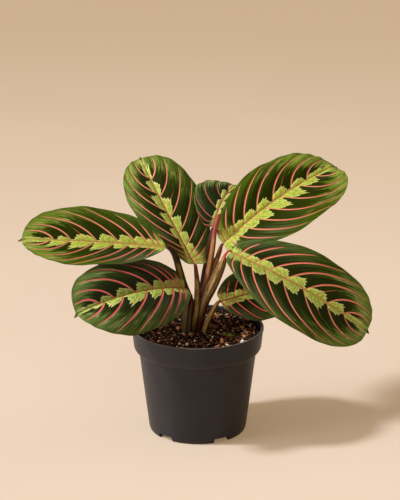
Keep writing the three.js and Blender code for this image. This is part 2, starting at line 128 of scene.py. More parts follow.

# Each leaf as it grew. Of each pair, the first is for the side on the left of the leaf's heading. ribs are
# the places along the midrib where its side ribs leave, sweep is how far they run toward the tip, and bow is
# how far they bulge toward the edge at the base and at the tip. shoulder is how far the blade reaches back
# past its stalk, lobes is how far each lime lobe reaches from the midrib, and twig is the lobe that a thin
# branch of a rib passes through. girth is how thick the veins are, gain how bright the lime is, partly its
# own tone and partly painted light on a side or a leaf lying in shade, glow how far the lime spreads at the
# base, painted_sheen how much grey sheen is painted near the base, light how far the light edge shows,
# inward how much further in it starts and lift how much lighter the whole leaf is painted, a painted light
# that lifts most the small right leaf lying in another's shade. warmth runs from cool blue-green (0) to
# warm olive (1), redness from salmon veins (0) to crimson (1).
LEAVES = {
    "leaf_left": dict(
        at=(-28.6, 0, 172.9), heading=182, turn=2, rise=7, droop=6, length=132, width=63, roll=-36,
        twist=-3, fold=20, arch=26, bias=-0.1, curl=-2.0, warmth=0.85, redness=0.0,
        ribs=((0.049, 0.098, 0.162, 0.24, 0.345, 0.482, 0.652, 0.784),
              (0.03, 0.063, 0.112, 0.195, 0.318, 0.467, 0.643, 0.757)),
        bow=((0.9, 1.3), (0.6, 1.0)), shoulder=(-0.008, -0.03),
        lobes=((0.2, 0.16, 0.17, 0.22, 0.31, 0.44, 0.4, 0.33, 0.15),
               (0.12, 0.14, 0.17, 0.21, 0.21, 0.2, 0.17, 0.1, 0.08)),
        twig=(20, 6), girth=1.14, gain=(1.12, 1.15), glow=(0.8, 0.8),
        painted_sheen=(0.8, 0.1), light=(1.5, 0.8), lift=1.0,
    ),
    "leaf_upper_left": dict(
        at=(-3.1, 8, 154.8), heading=125, turn=-13, rise=42, droop=15, length=132, width=70, roll=1,
        twist=-14, fold=18, arch=42, bias=-0.13, curl=-1.5, warmth=0.7, redness=0.15,
        ribs=((0.035, 0.065, 0.108, 0.185, 0.3, 0.447, 0.615, 0.765),
              (0.014, 0.036, 0.072, 0.142, 0.252, 0.4, 0.592, 0.756)),
        bow=((0.7, 1.3), (0.5, 0.9)), shoulder=(0.05, 0.1),
        lobes=((0.2, 0.18, 0.15, 0.17, 0.26, 0.3, 0.3, 0.22, 0.15),
               (0.2, 0.22, 0.18, 0.17, 0.19, 0.2, 0.18, 0.11, 0.07)),
        twig=(6, 6), girth=1.12, gain=(1.3, 1.1), glow=(0.9, 1.0),
        painted_sheen=(0.4, 0.2), light=(0.9, 0.5), lift=1.0,
    ),
    "leaf_back": dict(
        at=(14.6, 24, 184.8), heading=61, turn=12, rise=66, droop=108, length=83, width=58, roll=10,
        twist=-4, fold=8, arch=20, bias=0.05, curl=-3.0, warmth=0.25, redness=0.9,
        ribs=((0.012, 0.038, 0.083, 0.2, 0.345, 0.49, 0.64, 0.78),
              (0.015, 0.05, 0.11, 0.19, 0.3, 0.44, 0.6, 0.76)),
        sweep=(8.0, 5.5), bow=((1.25, 1.5), (0.75, 1.0)), shoulder=(0.06, 0.14),
        lobes=((0.05, 0.06, 0.08, 0.1, 0.13, 0.15, 0.15, 0.12, 0.08),
               (0.06, 0.08, 0.1, 0.12, 0.15, 0.16, 0.15, 0.12, 0.08)),
        twig=(20, 20), girth=0.62, gain=(1.25, 1.0), glow=(0.0, 0.0),
        painted_sheen=(0.0, 0.0), light=(3.0, 2.0), inward=0.3, lift=1.0,
    ),
    "leaf_upper_right": dict(
        at=(23.4, 5, 175.1), heading=29, turn=18, rise=36.5, droop=33, length=147, width=79, roll=40,
        twist=-22, fold=14, arch=14, bias=-0.08, curl=-2.0, warmth=1.0, redness=0.1,
        ribs=((0.02, 0.053, 0.102, 0.18, 0.284, 0.418, 0.572, 0.712),
              (0.043, 0.088, 0.154, 0.243, 0.353, 0.485, 0.635, 0.785)),
        bow=((0.8, 0.85), (0.9, 1.4)), shoulder=(0.04, 0.1),
        lobes=((0.24, 0.26, 0.18, 0.16, 0.19, 0.19, 0.19, 0.14, 0.14),
               (0.2, 0.18, 0.18, 0.24, 0.3, 0.36, 0.33, 0.22, 0.11)),
        twig=(6, 20), girth=1.22, gain=(1.3, 0.96), glow=(1.0, 0.25),
        painted_sheen=(0.05, 0.5), light=(1.1, 1.8), lift=1.0,
    ),
    "leaf_lower_right": dict(
        at=(30.4, -8, 171), heading=-20, turn=31, rise=-18.5, droop=23, length=147, width=78, roll=44,
        twist=15, fold=22, arch=14, bias=-0.12, curl=-2.0, warmth=0.5, redness=0.3,
        ribs=((0.05, 0.097, 0.161, 0.255, 0.369, 0.504, 0.664, 0.785),
              (0.032, 0.072, 0.137, 0.231, 0.345, 0.49, 0.658, 0.783)),
        bow=((0.7, 1.2), (1.0, 1.35)), shoulder=(0.04, 0.06),
        lobes=((0.12, 0.13, 0.15, 0.19, 0.22, 0.22, 0.18, 0.16, 0.1),
               (0.13, 0.15, 0.18, 0.24, 0.27, 0.26, 0.27, 0.16, 0.1)),
        twig=(6, 6), girth=1.22, gain=(1.2, 1.17), glow=(0.2, 0.3),
        painted_sheen=(0.3, 0.5), light=(0.9, 1.0), lift=1.08,
    ),
    "leaf_small_right": dict(
        at=(20.8, -7, 124.1), heading=37, turn=0, rise=2, droop=2, length=93, width=56, roll=48,
        twist=0, fold=0, arch=35, bias=0, curl=-2.0, warmth=0.15, redness=0.75,
        ribs=((0.03, 0.083, 0.167, 0.27, 0.39, 0.52, 0.66, 0.79),
              (0.02, 0.06, 0.14, 0.265, 0.38, 0.51, 0.65, 0.78)),
        bow=((0.7, 1.1), (0.9, 1.1)), shoulder=(0.06, 0.04),
        lobes=((0.24, 0.22, 0.2, 0.22, 0.24, 0.24, 0.2, 0.16, 0.1),
               (0.2, 0.2, 0.2, 0.21, 0.22, 0.22, 0.2, 0.15, 0.1)),
        twig=(20, 20), girth=1.1, gain=(1.95, 1.8), glow=(1.3, 0.6),
        painted_sheen=(0.2, 0.6), light=(0.8, 0.9), lift=1.7,
    ),
    "leaf_lower_left": dict(
        at=(-11.6, -5, 136.3), heading=219, turn=-15, rise=14.5, droop=35, length=115, width=84, roll=-36,
        twist=3, fold=24, arch=57, bias=0, curl=-3.0, warmth=0.2, redness=0.8,
        ribs=((0.012, 0.034, 0.068, 0.12, 0.212, 0.36, 0.574, 0.738),
              (0.03, 0.062, 0.1, 0.176, 0.3, 0.47, 0.65, 0.776)),
        bow=((0.6, 0.85), (0.5, 1.0)), shoulder=(0.05, 0.06),
        lobes=((0.14, 0.18, 0.2, 0.19, 0.27, 0.31, 0.35, 0.23, 0.11),
               (0.18, 0.2, 0.16, 0.17, 0.18, 0.18, 0.16, 0.12, 0.09)),
        twig=(6, 20), girth=1.45, gain=(1.28, 0.95), glow=(1.0, 0.15),
        painted_sheen=(0.6, 0.3), light=(0.5, 0.5), lift=1.0,
    ),
}

# Stalks: where each stands, the points and radii on its way up, and the leaf or the tip at its end. swell
# widens the whole stalk and flare its foot. low is its colour at the mix, up to the share low_to, darker
# partly as painted shade, middle the one above it, dark its streaks, right the painted shade on its right
# flank, and joint its joint, from the share joint_from. A sheath ends at a share, with a slant toward a side
# in degrees (0 is left, 90 front), a swell over its length and a step down to the joint. All stalks are ribbed
# lengthwise, with depths as shares of their radius and counts round them, and a little oval. The last piece
# of a stalk runs in line with its blade's midrib, and ends a little before it.
ROOT_HEIGHT = 78
LEAD_IN = 2.6
SEAT = 0.3
WAY_STEPS = 24
STALK_SIDES = 28
STALK_ROWS = 110
STALK_RIBS = ((0.04, 7), (0.025, 12))
STALK_OVAL = 0.05
FLARE_RUN = (0.55, 0.35)
SHEATH_EDGE = 0.35
STALKS = {
    "stalk_left": dict(
        leaf="leaf_left", root=(-8.3, 2.6), foot=2.6, end=1.3, swell=1.38, flare=0.9,
        way=[(-7.4, 3, 115.4, 2.6), (-9.8, 3, 127.8, 2.5), (-13.4, 2.5, 139.5, 2.4),
             (-16.4, 2, 151, 2.3), (-19, 1.5, 161, 2.1), (-22.3, 0.8, 168.2, 1.6)],
        low=rgb(66, 60, 14), middle=rgb(138, 122, 48), dark=rgb(42, 20, 6),
        joint=rgb(52, 26, 8), joint_from=0.8,
    ),
    "stalk_upper_left": dict(
        leaf="leaf_upper_left", root=(-5, -1.9), foot=2.3, end=1.2, swell=1.32, flare=0.2,
        way=[(-0.9, -1.5, 116, 2.3), (-0.1, 0, 127.6, 2.2), (-0.4, 2.5, 139.5, 1.8), (-1.4, 4.6, 148.6, 1.4)],
        low=rgb(64, 44, 16), middle=rgb(172, 142, 76), dark=rgb(72, 30, 12),
        joint=rgb(108, 56, 24), joint_from=0.82,
    ),
    "stalk_back": dict(
        leaf="leaf_back", root=(-2, 11.6), foot=1.6, end=1.3, swell=1.6,
        way=[(1.2, 12.5, 117.8, 1.5), (3.8, 13.5, 131.9, 1.4), (6.5, 14.8, 147.8, 1.4),
             (8.7, 15.4, 155.2, 1.7), (10.6, 16.6, 164.3, 1.9), (12.1, 19, 173.1, 1.9)],
        low=rgb(46, 24, 12), middle=rgb(84, 42, 18), dark=rgb(24, 8, 4),
        joint=rgb(60, 22, 10), joint_from=0.6,
    ),
    "stalk_upper_right": dict(
        leaf="leaf_upper_right", root=(2.6, 7.2), foot=1.9, end=1.2, swell=1.3,
        way=[(5.9, 10, 115.8, 1.9), (9.6, 12.5, 132.3, 1.8), (13.7, 13, 147.4, 1.9),
             (17.3, 10.6, 158, 1.9), (19.9, 6.6, 167.6, 1.7)],
        sheath=dict(end=0.8, slant=0.03, turn=20, swell=1.15, step=0.1),
        low=rgb(84, 52, 24), middle=rgb(200, 160, 96), dark=rgb(84, 38, 20),
        joint=rgb(116, 64, 26), joint_from=0.84,
    ),
    "stalk_lower_right": dict(
        leaf="leaf_lower_right", root=(0.3, 0.6), foot=2.9, end=1.3,
        way=[(6.1, 0, 120.8, 3.4), (11.9, -1, 134, 3.7), (17.4, -3, 147.4, 3.5),
             (21.7, -4.8, 158.9, 2.9), (24.3, -6, 167, 1.7)],
        sheath=dict(end=0.885, slant=0.045, turn=125, swell=1.28, step=0.28),
        low=rgb(74, 30, 22), middle=rgb(176, 150, 88), low_to=0.68, dark=rgb(82, 36, 26),
        right=rgb(74, 32, 24), joint=rgb(200, 72, 42), joint_from=0.885,
    ),
    "stalk_small_right": dict(
        leaf="leaf_small_right", root=(5.8, -2.8), foot=2, end=1.1, swell=1.34,
        way=[(8, -3.4, 101, 2), (11.6, -4.4, 110, 2), (15.2, -5.6, 117, 1.8)],
        low=rgb(120, 120, 22), middle=rgb(190, 150, 84), dark=rgb(70, 56, 14),
        joint=rgb(140, 84, 40), joint_from=0.9,
    ),
    "stalk_lower_left": dict(
        leaf="leaf_lower_left", root=(-11, -3.2), foot=2, end=1.1, swell=1.15, flare=0.35,
        way=[(-9.6, -4, 114, 1.9), (-9.2, -4.4, 125.7, 1.7), (-8.8, -4.2, 131.5, 1.4)],
        low=rgb(58, 50, 14), middle=rgb(112, 92, 36), dark=rgb(40, 20, 8),
        joint=rgb(96, 50, 24), joint_from=0.86,
    ),
    "bare_stalk": dict(
        slot="pink_stalk", root=(-3, 6.4), foot=2.2, end=1.7, swell=1.12,
        way=[(4.2, 7, 125.2, 2.2), (6.8, 7.4, 133.6, 2.2), (9.5, 7.7, 146.2, 2.2), (11.8, 7.8, 158.6, 2.2),
             (13.7, 7.8, 171.3, 2.1), (15.3, 8, 184.2, 1.8), (17.2, 8.8, 192.7, 1.65), (19, 9.8, 199.4, 1.6)],
        tip=(19.4, 10.1, 201.2),
        low=rgb(96, 66, 28), middle=rgb(204, 154, 92), low_to=0.34, dark=rgb(112, 50, 36),
        right=rgb(96, 40, 32), joint=rgb(164, 62, 72), joint_from=0.83,
    ),
    "sheath_tip": dict(
        slot="sheath", root=(-7.2, -6), foot=1.2, end=0.4, swell=1.35, flare=0.6,
        way=[(-6.5, -5.2, 108, 1.3), (-5.6, -4.2, 120, 1.2)],
        tip=(-5.2, -3.6, 129.5),
        low=rgb(60, 46, 14), middle=rgb(76, 48, 20), dark=rgb(34, 16, 6),
        joint=rgb(92, 22, 18), joint_from=0.74,
    ),
}

# What lies on the mix: how many, size range, proportions, and two colours. Those with places lie at the
# given spots as well. The moss winds out from its middle.
CRUMB_FORMS = 5
SMALL_CRUMBS = 1.8
RIM_CLEARANCE = 1.2
MOSS_PLACE = (28.5, -9.1)
MOSS_SPREAD = (0.9, 0.6)
MOSS_TURN = 2.4
CRUMBS = {
    "coir_crumbs": dict(
        count=1500, sizes=(0.5, 1.7), shape=(1, 0.8, 0.7), facets=1, rough=0.35,
        tints=(rgb(4, 1, 1), rgb(132, 80, 50)),
    ),
    "bark_bits": dict(
        count=190, sizes=(0.9, 2.6), shape=(1.35, 0.7, 0.4), facets=2, rough=0.3,
        tints=(rgb(14, 6, 3), rgb(240, 172, 120)),
        places=[(14.6, 6.8, 3.2), (13.2, 8.4, 2.6), (-25.9, 2.8, 3.4), (46.8, -2.5, 3),
                (43, 2, 2.4), (-32, -20, 2.4), (7, -41, 2.6), (30, -16, 2.6)],
    ),
    "golden_flakes": dict(
        count=520, sizes=(0.5, 1.4), shape=(1.5, 0.6, 0.35), facets=1, rough=0.4,
        tints=(rgb(112, 66, 38), rgb(255, 236, 204)),
    ),
    "pale_grains": dict(
        count=26, sizes=(0.5, 1.1), shape=(1, 0.8, 0.7), facets=2, rough=0.22,
        tints=(rgb(240, 226, 192), rgb(255, 252, 240)),
        places=[(-16.4, -33.8, 1.5), (-9.3, -35, 1.7), (-2.6, -24.8, 1.3), (13.1, -15.7, 1.3),
                (24, -7.8, 1.6), (39.9, -28.6, 2), (43, -26.5, 1.2), (25.9, -37.6, 1.8),
                (33.4, -38.9, 1.3), (7.8, -2.5, 1), (-12.8, -34.2, 0.9)],
    ),
    "fibres": dict(
        count=130, sizes=(1.8, 4.2), shape=(1, 0.07, 0.07), facets=1, rough=0.15,
        tints=(rgb(84, 46, 20), rgb(200, 142, 86)),
    ),
    "moss": dict(
        count=0, sizes=(0.9, 1.5), shape=(0.45, 0.3, 1.1), facets=1, rough=0.3,
        tints=(rgb(84, 104, 24), rgb(196, 206, 88)),
        places=[(MOSS_PLACE[0] + MOSS_SPREAD[0] * math.cos(MOSS_TURN * k) * k ** 0.5,
                 MOSS_PLACE[1] + MOSS_SPREAD[1] * math.sin(MOSS_TURN * k) * k ** 0.5, 1.3) for k in range(46)],
    ),
}

# Camera, floor and light, in metres. Each lamp has the direction that it shines from, its width in degrees,
# its power and its colour. The floor's colour is painted darker away from its lit middle, a painted falloff of
# light, and the floor glows faintly, a painted light that lifts its shadows.
CAMERA_PLACE = (0.0021, -1.700, 0.7127)
CAMERA_PITCH = 17.695
CAMERA_LENS = 143.3
CAMERA_SENSOR = 36
FLOOR_SIZE = 12.0
LIT_MIDDLE = (-0.15, -0.25)
LIT_REACH = (0.2, 2.3)
FLOOR_TINTS = (rgb(205, 194, 184), rgb(211, 200, 190), rgb(161, 144, 124))
FLOOR_GLOW = ((1, 0.68, 0.36, 1), 0.22)
LAMPS = {
    "key": ((-2.25, -0.25, 1.93), 6.5, 2.7, (1.0, 0.985, 0.96)),
    "soft_box": ((-2.6, -0.6, 1.3), 40, 0.5, (1.0, 0.98, 0.95)),
    "strip": ((-2.5, -0.75, 0.36), 32, 1.55, (1.0, 0.99, 0.99)),
}
ROOM_LIGHT = ((1.0, 0.76, 0.58, 1), 0.35)


class Wire:
    """A number or colour on its way between two nodes. Arithmetic on it adds Math nodes."""

    def __init__(self, finish, socket):
        self.finish = finish
        self.socket = socket

    def __add__(self, other):
        return self.finish.math("ADD", self, other)

    def __sub__(self, other):
        return self.finish.math("SUBTRACT", self, other)

    def __rsub__(self, other):
        return self.finish.math("SUBTRACT", other, self)

    def __mul__(self, other):
        return self.finish.math("MULTIPLY", self, other)

    def __truediv__(self, other):
        return self.finish.math("DIVIDE", self, other)

    __radd__ = __add__
    __rmul__ = __mul__


class Finish:
    """A material under construction, with one Principled shader at its end."""

    def __init__(self, name, **constants):
        self.material = bpy.data.materials.new(name)
        self.material.use_nodes = True
        self.tree = self.material.node_tree
        self.shader = self.tree.nodes["Principled BSDF"]
        for socket, value in constants.items():
            self.shader.inputs[socket.replace("_", " ")].default_value = value

    def node(self, kind, settings=None, values=None, output=0):
        """Adds a node, makes its settings, fills its sockets with values or links, and gives an output."""
        node = self.tree.nodes.new(kind)
        for key, setting in (settings or {}).items():
            if key == "stops":
                self.set_stops(node.color_ramp, setting)
            elif key == "between_stops":
                node.color_ramp.interpolation = setting
            else:
                setattr(node, key, setting)
        pairs = values.items() if isinstance(values, dict) else enumerate(values or [])
        for key, value in pairs:
            if isinstance(value, Wire):
                self.tree.links.new(value.socket, node.inputs[key])
            else:
                node.inputs[key].default_value = value
        return Wire(self, node.outputs[output])

    def set_stops(self, ramp, stops):
        while len(ramp.elements) < len(stops):
            ramp.elements.new(0.5)
        for element, (place, colour) in zip(ramp.elements, stops):
            element.position = place
            element.color = (*colour, 1) if isinstance(colour, tuple) else (colour, colour, colour, 1)

    def math(self, operation, *values):
        return self.node("ShaderNodeMath", {"operation": operation}, values)

    def smooth(self, value, low, high):
        """0 where value is at or below low, 1 at or above high, with a soft step between."""
        settings = {"interpolation_type": "SMOOTHSTEP"}
        return self.node("ShaderNodeMapRange", settings, [value, low, high, 0.0, 1.0])

    def fade(self, value, low, high):
        """1 where value is at or below low, 0 at or above high, with a soft step between."""
        return 1 - self.smooth(value, low, high)

    def curve(self, value, *stops):
        """Straight lines through [place, height] stops, both from 0 to 1."""
        return self.node("ShaderNodeValToRGB", {"stops": stops, "between_stops": "LINEAR"}, [value])

    def steps(self, value, heights):
        """The height that belongs to the step of value: 0 to 1 is the first, 1 to 2 the second."""
        stops = [(i / len(heights), height) for i, height in enumerate(heights)]
        settings = {"stops": stops, "between_stops": "CONSTANT"}
        return self.node("ShaderNodeValToRGB", settings, [value / len(heights)])

    def mix(self, share, first, second):
        """A colour between two colours."""
        settings = {"data_type": "RGBA"}
        first, second = (tint if isinstance(tint, Wire) else (*tint, 1) for tint in (first, second))
        return self.node("ShaderNodeMix", settings, {0: share, 6: first, 7: second}, output=2)

    def coats(self, tint, *coats):
        """Lays coats over a colour, each a share and its own colour."""
        for share, colour in coats:
            tint = self.mix(share, tint, colour)
        return tint

    def join(self, x, y, z=0.0):
        return self.node("ShaderNodeCombineXYZ", None, [x, y, z])

    def part(self, vector, axis):
        return self.node("ShaderNodeSeparateXYZ", None, [vector], output=axis)

    def noise(self, vector, scale, detail=2.0, roughness=0.5):
        values = {"Vector": vector, "Scale": scale, "Detail": detail, "Roughness": roughness}
        return self.node("ShaderNodeTexNoise", None, values)

    def uv(self, name):
        return self.node("ShaderNodeUVMap", {"uv_map": name})

    def place(self):
        return self.node("ShaderNodeTexCoord", None, output="Object")

    def bump(self, height, distance, strength=1.0):
        values = {"Height": height, "Distance": distance, "Strength": strength}
        return self.node("ShaderNodeBump", None, values)

    def done(self, **wires):
        for socket, wire in wires.items():
            self.tree.links.new(wire.socket, self.shader.inputs[socket.replace("_", " ")])
        return self.material


def clear_selection():
    bpy.ops.object.select_all(action="DESELECT")


def select_only(piece):
    clear_selection()
    piece.select_set(True)
    bpy.context.view_layer.objects.active = piece


def apply_modifier(piece, kind, **settings):
    modifier = piece.modifiers.new(kind.title(), kind)
    for key, value in settings.items():
        setattr(modifier, key, value)
    select_only(piece)
    bpy.ops.object.modifier_apply(modifier=modifier.name)


def in_edit_mode(piece, *steps):
    """Runs each step on the whole of a piece in edit mode."""
    select_only(piece)
    bpy.ops.object.mode_set(mode="EDIT")
    for step in steps:
        bpy.ops.mesh.select_all(action="SELECT")
        step()
    bpy.ops.object.mode_set(mode="OBJECT")


def join_seams():
    bpy.ops.mesh.remove_doubles(threshold=SAME_SPOT)


def face_outward():
    bpy.ops.mesh.normals_make_consistent(inside=False)


def smooth_faces(piece, angle):
    select_only(piece)
    bpy.ops.object.shade_smooth_by_angle(angle=math.radians(angle))


def settle(piece, name, node, slot, *materials):
    """Names a finished piece, gives it its materials and sets it in the place of its node."""
    piece.name = piece.data.name = name
    for material in materials:
        piece.data.materials.append(material)
    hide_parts(node)
    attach(piece, "root")


def reshaped_grid(name, spots):
    """A grid whose corners lie at spots[row][column], with its row and column kept for each corner."""
    rows, columns = spots.shape[0] - 1, spots.shape[1] - 1
    clear_selection()
    bpy.ops.mesh.primitive_grid_add(x_subdivisions=columns, y_subdivisions=rows, size=1)
    piece = bpy.context.object
    piece.name = name
    flat = np.empty(len(piece.data.vertices) * 3, np.float32)
    piece.data.vertices.foreach_get("co", flat)
    flat = flat.reshape(-1, 3)
    column = np.rint((flat[:, 0] + 0.5) * columns).astype(int)
    row = np.rint((flat[:, 1] + 0.5) * rows).astype(int)
    piece.data.vertices.foreach_set("co", spots[row, column].astype(np.float32).ravel())
    return piece, row, column


def face_corners(piece):
    """The number of the vertex at each corner of each face."""
    corner = np.empty(len(piece.data.loops), np.int64)
    piece.data.loops.foreach_get("vertex_index", corner)
    return corner


def write_uv(piece, name, pairs):
    """Stores a pair of numbers for each corner of each face."""
    piece.data.uv_layers.new(name=name).data.foreach_set("uv", pairs.astype(np.float32).ravel())


def tone(first, second, share):
    """A colour between two colours, worked out before any node."""
    return tuple(a + (b - a) * share for a, b in zip(first, second))


# Leaf form.

def outline(s):
    """Half width of a blade as a share of its widest, from base (0) to tip (1)."""
    u = np.minimum(s / BODY_END, 1)
    before = u < WIDEST
    away = np.where(before, 1 - u / WIDEST, (u - WIDEST) / (1 - WIDEST))
    curve = np.where(before, BASE_ROUNDING[0], TIP_ROUNDING[0])
    fullness = np.where(before, BASE_ROUNDING[1], TIP_ROUNDING[1])
    body = np.maximum(1 - away ** curve, 0) ** fullness
    spike = DRIP_TIP["end"] + DRIP_TIP["width"] * np.minimum((1 - s) / DRIP_TIP["length"], 1)
    return np.hypot(body, np.where(s > DRIP_TIP["from"], spike, 0))


def along_rib(a, t, sweep, bow, shoulder):
    """Share of the length and of the half width at the share t of the way out along the rib a."""
    start = a ** RIB_CROWDING
    end = 1 - (1 - start) ** (sweep[0] - sweep[1] * start)
    width = outline(end)
    bend_s = start + (end - start) * RIB_BEND[0]
    bend_x = width * (RIB_BEND[1] + start) * (bow[0] + (bow[1] - bow[0]) * start)
    s = (1 - t) ** 2 * start + 2 * t * (1 - t) * bend_s + t * t * end
    x = np.minimum(2 * t * (1 - t) * bend_x + t * t * width, outline(s))
    s = s - RIB_RUN_IN[0] * np.maximum(1 - t / RIB_RUN_IN[1], 0) ** 2 * np.minimum(start / 0.1, 1) * (1 - start)
    s = s - shoulder * np.exp(-s / SHOULDER_RUN) * np.minimum(x / 0.3, 1) ** 1.5
    return np.minimum(s, 1), x


def midrib_direction(leaf, s):
    heading = np.radians(leaf["heading"] + leaf["turn"] * s)
    rise = np.radians(leaf["rise"] - leaf["droop"] * s)
    level = np.cos(rise)
    return np.stack([level * np.cos(heading), level * np.sin(heading), np.sin(rise)], -1)


def blade_frame(leaf, s):
    """For shares s of a leaf's length: the spot on its midrib, the way across it and the way up from it."""
    middles = (np.arange(MIDRIB_STEPS) + 0.5) / MIDRIB_STEPS
    steps = midrib_direction(leaf, middles) * leaf["length"] / MIDRIB_STEPS
    knots = np.vstack([-steps[0] * MIDRIB_STEPS, np.zeros(3), np.cumsum(steps, 0)]) + np.array(leaf["at"])
    shares = np.concatenate([[-1], np.linspace(0, 1, MIDRIB_STEPS + 1)])
    spot = np.stack([np.interp(s, shares, knots[:, axis]) for axis in range(3)], -1)
    ahead = midrib_direction(leaf, s)
    heading = np.radians(leaf["heading"] + leaf["turn"] * s)
    left = np.stack([-np.sin(heading), np.cos(heading), np.zeros_like(heading)], -1)
    up = np.cross(ahead, left)
    roll = np.radians(leaf["roll"] + leaf["twist"] * s)[..., None]
    across = left * np.cos(roll) + up * np.sin(roll)
    return spot, across, np.cross(ahead, across)


def side_of(leaf, key, side):
    """The value of a pair that belongs to a side: +1 is left of the heading, -1 right."""
    return leaf[key][0] if side > 0 else leaf[key][1]


def rib_knots(leaf, side):
    """The base, the ribs and the tip of one side, as shares a."""
    starts = np.array([BLADE_START ** RIB_CROWDING, *side_of(leaf, "ribs", side), 1])
    return starts ** (1 / RIB_CROWDING)


def rib_number(leaf, side, a):
    """Counts the ribs from the base: a whole number on a rib, and the share of a step between two."""
    return np.interp(a, rib_knots(leaf, side), np.arange(RIBS + 2))


def blade_spots(leaf, side, a, t):
    """Points of the middle surface of one half of a blade, in metres, with their shares s and x."""
    sweep = leaf.get("sweep", RIB_SWEEP)
    s, x = along_rib(a, t, sweep, side_of(leaf, "bow", side), side_of(leaf, "shoulder", side))
    spot, across, over = blade_frame(leaf, s)
    half = (leaf["width"] / 2) * (1 + side * leaf["bias"])
    fold = math.radians(leaf["fold"])
    bend = math.radians(leaf["arch"]) / half
    slope = fold - bend * x * half
    out = (math.sin(fold) - np.sin(slope)) / bend
    height = (np.cos(slope) - math.cos(fold)) / bend
    rib = rib_number(leaf, side, a)
    off_rib = np.abs(rib - np.rint(rib))
    taper = outline(s)
    swell = np.sin(np.pi * off_rib) ** 0.8 * np.sin(np.pi * np.minimum(t * QUILT_FADE, 1)) ** 0.7
    height += QUILT * swell * taper
    height -= FURROW * np.exp(-(off_rib / FURROW_WIDTH) ** 2) * taper * (1 - t) ** 0.6 * (np.rint(rib) > 0.5)
    height -= MIDRIB_FURROW * np.exp(-(x * half / MIDRIB_FURROW_WIDTH) ** 2) * (1 - s) ** 0.5
    height += EDGE_WAVE * x ** 3 * np.sin(FULL_TURN * EDGE_WAVES * s + side)
    height += EDGE_RIPPLE * t ** 5 * np.sin(FULL_TURN * rib + 5 * s) * (0.6 + s)
    height += leaf["curl"] * np.maximum((s - CURL_FROM) / (1 - CURL_FROM), 0) ** 2
    points = spot + across * (side * out)[..., None] + over * height[..., None]
    return points * MM, s, x


def rib_rows(leaf, side):
    """Rows of one side of a blade's mesh, as shares a, close together at the ribs."""
    knots = rib_knots(leaf, side)
    return np.append((knots[:-1, None] + ROWS_BETWEEN_RIBS * np.diff(knots)[:, None]).ravel(), 1)


def rib_step(leaf, side, a, t):
    """Distance in millimetres from one rib to the next, square to the ribs."""
    before, after = np.clip(a - 0.01, 0, 1), np.clip(a + 0.01, 0, 1)
    inside, outside = np.clip(t - 0.02, 0, 1), np.clip(t + 0.02, 0, 1)
    along = blade_spots(leaf, side, a, outside)[0] - blade_spots(leaf, side, a, inside)[0]
    along /= np.maximum(np.linalg.norm(along, axis=-1, keepdims=True), 1e-9)
    step = blade_spots(leaf, side, after, t)[0] - blade_spots(leaf, side, before, t)[0]
    step -= along * (step * along).sum(-1, keepdims=True)
    counted = rib_number(leaf, side, after) - rib_number(leaf, side, before)
    return np.linalg.norm(step, axis=-1) / counted / MM


def make_leaf(name, leaf):
    """A blade as one thin closed sheet, furrowed at its ribs, with its own rib and outline maps."""
    shares = (np.arange(BLADE_COLUMNS + 1) / BLADE_COLUMNS) ** COLUMN_CROWDING
    parted = np.clip(shares / SEAM_BLEND, 0, 1)
    parted = parted * parted * (3 - 2 * parted)
    middle = (rib_rows(leaf, 1) + rib_rows(leaf, -1)) / 2
    halves = {}
    for side in (1, -1):
        a = middle[:, None] + (rib_rows(leaf, side) - middle)[:, None] * parted[None, :]
        t = np.broadcast_to(shares[None, :], a.shape)
        points, s, x = blade_spots(leaf, side, a, t)
        step = rib_step(leaf, side, a, t)
        halves[side] = dict(points=points, rib=rib_number(leaf, side, a), t=t, s=s, x=x, step=step)
    left, right = halves.values()
    spots = np.concatenate([left["points"][:, :0:-1], right["points"]], axis=1)
    piece, row, column = reshaped_grid(name, spots)
    corner = face_corners(piece)
    faces = piece.data.polygons
    centre = np.array([column[list(face.vertices)].mean() for face in faces])
    on_left = np.repeat(centre, [face.loop_total for face in faces]) < BLADE_COLUMNS
    rows, columns = row[corner], np.abs(column[corner] - BLADE_COLUMNS)

    def pick(key):
        return np.where(on_left, left[key][rows, columns], right[key][rows, columns])

    side = np.where(on_left, 1, -1)
    write_uv(piece, "ribs", np.stack([pick("rib"), pick("t") * side], -1))
    write_uv(piece, "shape", np.stack([pick("s"), pick("x") * side], -1))
    write_uv(piece, "step", np.stack([pick("step"), pick("s") * 0], -1))
    apply_modifier(piece, "SOLIDIFY", thickness=BLADE * MM, offset=0, material_offset=1, material_offset_rim=1)
    smooth_faces(piece, 60)
    settle(piece, name.replace("leaf", "blade"), name, "blade",
           BladeTop(name, leaf).painted(), BladeUnderside(name, leaf).painted())


# Leaf colours. Those of the blade run from cool to warm, and those of the veins from salmon to crimson.
BLADE_TINTS = dict(
    dark=(rgb(26, 34, 18), rgb(37, 50, 0)),
    green=(rgb(58, 80, 36), rgb(78, 102, 8)),
    light=(rgb(110, 136, 76), rgb(140, 166, 56)),
    pale=(rgb(176, 190, 132), rgb(206, 218, 130)),
    lime_deep=(rgb(122, 150, 66), rgb(148, 172, 52)),
    lime_mid=(rgb(168, 188, 96), rgb(194, 208, 88)),
    lime_pale=(rgb(214, 216, 150), rgb(232, 232, 148)),
)
VEIN_TINTS = dict(
    salmon=(rgb(242, 160, 132), rgb(218, 100, 106)),
    crimson=(rgb(208, 112, 88), rgb(182, 62, 78)),
    orange=(rgb(222, 160, 108), rgb(204, 116, 94)),
    midrib_base=(rgb(204, 172, 106), rgb(194, 124, 88)),
    midrib=(rgb(204, 138, 100), rgb(188, 84, 78)),
)
PAINTED_SHEEN = rgb(118, 132, 96)
EDGE = rgb(66, 62, 24)
TIP_HIGHLIGHT = rgb(186, 196, 172)
BROWN_TIP = rgb(136, 92, 44)
UNDERSIDE_TINTS = dict(
    dull=(0.095, 0.022, 0.040), cloudy=(0.150, 0.050, 0.055), streak=(0.20, 0.085, 0.075),
    vein=(0.26, 0.10, 0.085), midrib=(0.33, 0.17, 0.10),
)

